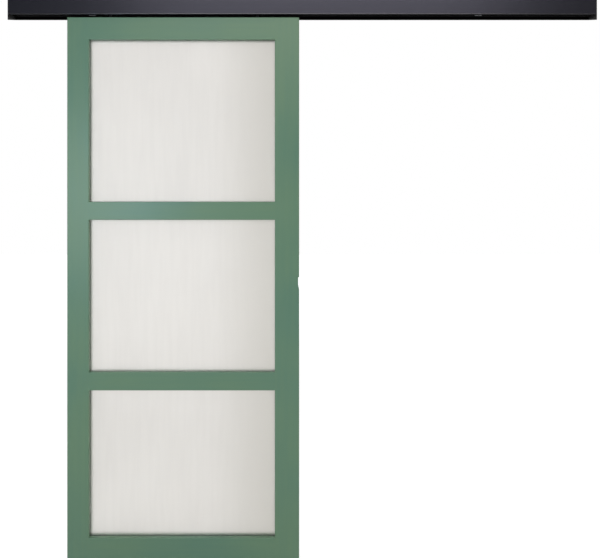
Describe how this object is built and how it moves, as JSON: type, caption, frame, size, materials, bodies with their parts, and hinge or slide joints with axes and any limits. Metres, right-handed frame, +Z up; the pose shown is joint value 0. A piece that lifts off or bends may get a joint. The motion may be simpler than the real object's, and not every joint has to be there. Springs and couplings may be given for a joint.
{
  "type": "sliding glazed door",
  "caption": "Painted timber sliding door with frosted panes, hung on wheels from a wall-fixed track behind a dark cover, with a floor guide.",
  "frame": {"origin": "on the wall face, in the middle of the track's line of fixing holes", "axes": "+X to the right as seen from the room, along the travel; +Y into the wall; +Z up"},
  "size_m": [2.094, 0.065, 2.134],
  "materials": {
    "leaf_paint": "satin grey-green paint over timber",
    "frosted_glass": "frosted, warm white",
    "seal_rubber": "black glazing seal",
    "pull_metal": "dark brushed",
    "zinc_steel": "zinc plated",
    "black_steel": "blackened and oiled",
    "carriage_metal": "die cast, satin",
    "stop_metal": "die cast, dark",
    "black_aluminium": "satin black, bright-cut lower edge",
    "black_plastic": "fine moulded grain",
    "guide_plastic": "moulded",
    "wheel_plastic": "hard nylon",
    "buffer_rubber": "soft moulded"
  },
  "bodies": {
    "track": {"track_rail": "black_aluminium", "pelmet_cover": "black_aluminium", "end_cap_left": "black_plastic", "end_cap_right": "black_plastic", "track_stop_left": "stop_metal", "track_stop_right": "stop_metal", "stop_buffer_left": "buffer_rubber", "stop_buffer_right": "buffer_rubber", "stop_screws": "black_steel", "floor_guide": "guide_plastic"},
    "leaf": {"stile_left": "leaf_paint", "stile_right": "leaf_paint", "rail_top": "leaf_paint", "rail_mid_upper": "leaf_paint", "rail_mid_lower": "leaf_paint", "rail_bottom": "leaf_paint", "bead_upper_top": "leaf_paint", "bead_upper_bottom": "leaf_paint", "bead_upper_left": "leaf_paint", "bead_upper_right": "leaf_paint", "glass_upper": "frosted_glass", "glazing_seal_upper": "seal_rubber", "bead_middle_top": "leaf_paint", "bead_middle_bottom": "leaf_paint", "bead_middle_left": "leaf_paint", "bead_middle_right": "leaf_paint", "glass_middle": "frosted_glass", "glazing_seal_middle": "seal_rubber", "bead_lower_top": "leaf_paint", "bead_lower_bottom": "leaf_paint", "bead_lower_left": "leaf_paint", "bead_lower_right": "leaf_paint", "glass_lower": "frosted_glass", "glazing_seal_lower": "seal_rubber", "edge_pull": "pull_metal", "hanger_plate_left": "zinc_steel", "hanger_bolt_left": "black_steel", "hanger_nut_left": "black_steel", "axles_left": "zinc_steel", "carriage_left": "carriage_metal", "hanger_plate_right": "zinc_steel", "hanger_bolt_right": "black_steel", "hanger_nut_right": "black_steel", "axles_right": "zinc_steel", "carriage_right": "carriage_metal", "hanger_screws": "zinc_steel"},
    "wheel_left_rear_front": {"wheel_left_rear_front": "wheel_plastic"},
    "wheel_left_rear_back": {"wheel_left_rear_back": "wheel_plastic"},
    "wheel_left_lead_front": {"wheel_left_lead_front": "wheel_plastic"},
    "wheel_left_lead_back": {"wheel_left_lead_back": "wheel_plastic"},
    "wheel_right_rear_front": {"wheel_right_rear_front": "wheel_plastic"},
    "wheel_right_rear_back": {"wheel_right_rear_back": "wheel_plastic"},
    "wheel_right_lead_front": {"wheel_right_lead_front": "wheel_plastic"},
    "wheel_right_lead_back": {"wheel_right_lead_back": "wheel_plastic"}
  },
  "joints": [
    {"name": "leaf_slide", "type": "slide", "parent": "track", "child": "leaf", "axis": [1, 0, 0], "range_m": [-0.015, 0.745]},
    {"name": "spin_left_rear_front", "type": "hinge", "parent": "leaf", "child": "wheel_left_rear_front", "pos_m": [-0.71, -0.041, -0.0312], "axis": [0, 1, 0], "continuous": true},
    {"name": "spin_left_rear_back", "type": "hinge", "parent": "leaf", "child": "wheel_left_rear_back", "pos_m": [-0.71, -0.019, -0.0312], "axis": [0, 1, 0], "continuous": true},
    {"name": "spin_left_lead_front", "type": "hinge", "parent": "leaf", "child": "wheel_left_lead_front", "pos_m": [-0.672, -0.041, -0.0312], "axis": [0, 1, 0], "continuous": true},
    {"name": "spin_left_lead_back", "type": "hinge", "parent": "leaf", "child": "wheel_left_lead_back", "pos_m": [-0.672, -0.019, -0.0312], "axis": [0, 1, 0], "continuous": true},
    {"name": "spin_right_rear_front", "type": "hinge", "parent": "leaf", "child": "wheel_right_rear_front", "pos_m": [-0.18, -0.041, -0.0312], "axis": [0, 1, 0], "continuous": true},
    {"name": "spin_right_rear_back", "type": "hinge", "parent": "leaf", "child": "wheel_right_rear_back", "pos_m": [-0.18, -0.019, -0.0312], "axis": [0, 1, 0], "continuous": true},
    {"name": "spin_right_lead_front", "type": "hinge", "parent": "leaf", "child": "wheel_right_lead_front", "pos_m": [-0.142, -0.041, -0.0312], "axis": [0, 1, 0], "continuous": true},
    {"name": "spin_right_lead_back", "type": "hinge", "parent": "leaf", "child": "wheel_right_lead_back", "pos_m": [-0.142, -0.019, -0.0312], "axis": [0, 1, 0], "continuous": true}
  ],
  "couplings": [
    {"joint": "spin_left_rear_front", "follows": "leaf_slide", "rad_per_m": 100},
    {"joint": "spin_left_rear_back", "follows": "leaf_slide", "rad_per_m": 100},
    {"joint": "spin_left_lead_front", "follows": "leaf_slide", "rad_per_m": 100},
    {"joint": "spin_left_lead_back", "follows": "leaf_slide", "rad_per_m": 100},
    {"joint": "spin_right_rear_front", "follows": "leaf_slide", "rad_per_m": 100},
    {"joint": "spin_right_rear_back", "follows": "leaf_slide", "rad_per_m": 100},
    {"joint": "spin_right_lead_front", "follows": "leaf_slide", "rad_per_m": 100},
    {"joint": "spin_right_lead_back", "follows": "leaf_slide", "rad_per_m": 100}
  ]
}
